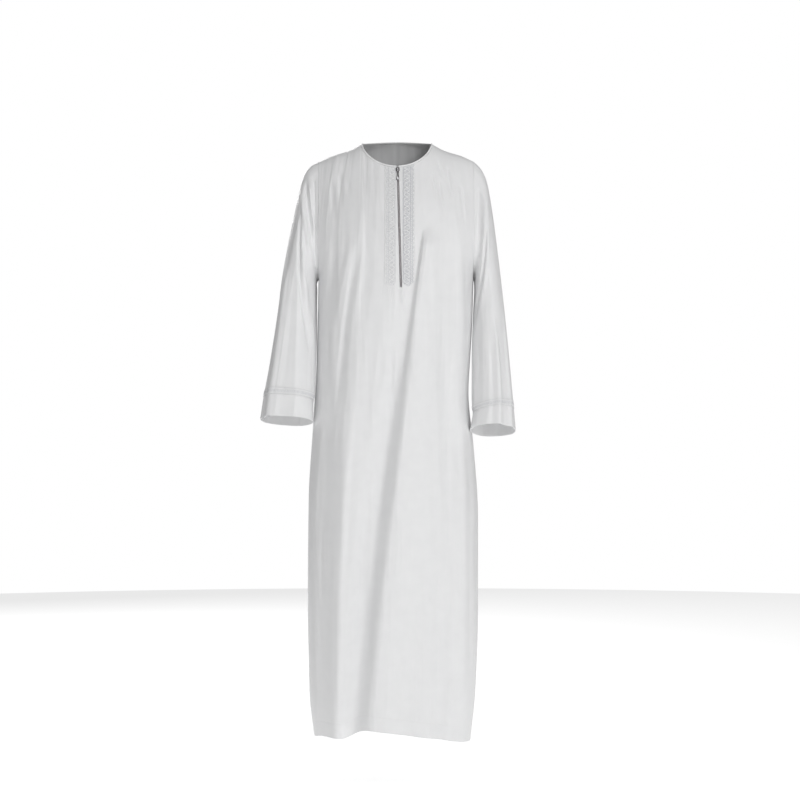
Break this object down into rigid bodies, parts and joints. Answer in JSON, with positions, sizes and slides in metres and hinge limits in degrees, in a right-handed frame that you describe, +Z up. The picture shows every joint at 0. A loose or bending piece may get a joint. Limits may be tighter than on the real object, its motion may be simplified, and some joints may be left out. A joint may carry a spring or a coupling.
{
  "type": "long zip-front robe, a thobe-style kurta, as worn",
  "caption": "Ankle-length hollow satin robe with round neck, long straight sleeves, a part-length front zip and embroidered strips, held at the shoulders.",
  "frame": {"origin": "where the wearer's shoulders hold the robe: level with the two neck points of the shoulder seams, in the plane of the side seams, on the figure's middle line", "axes": "+Z up towards the neck, +X towards the wearer's left sleeve, +Y towards the wearer's back, so the zip faces -Y"},
  "size_m": [0.615, 0.3009, 1.4545],
  "materials": {
    "satin": "white satin with a soft sheen",
    "binding": "white satin binding",
    "embroidery": "white and silver-grey embroidery thread with a sheen",
    "zip_tape": "white woven tape",
    "zip_teeth": "mauve-grey moulded coil teeth",
    "zip_metal": "dark nickel-plated zinc casting"
  },
  "bodies": {
    "garment": {"front_panel": "satin", "back_panel": "satin", "sleeve_right": "satin", "sleeve_left": "satin", "cuff_band_right": "satin", "cuff_band_left": "satin", "cuff_embroidery_right": "embroidery", "cuff_embroidery_left": "embroidery", "neck_binding": "binding", "placket_embroidery_right": "embroidery", "placket_embroidery_left": "embroidery", "zip_tape_right": "zip_tape", "zip_tape_left": "zip_tape", "zip_chain": "zip_teeth", "zip_slider": "zip_metal"},
    "zip_pull": {"pull_link": "zip_metal", "pull_ring": "zip_metal", "pull_drop": "zip_metal"}
  },
  "joints": [
    {"name": "pull_hinge", "type": "hinge", "parent": "garment", "child": "zip_pull", "pos_m": [0.00417, -0.08155, -0.06676], "axis": [-1, 0, 0], "range_deg": [0, 150]}
  ]
}
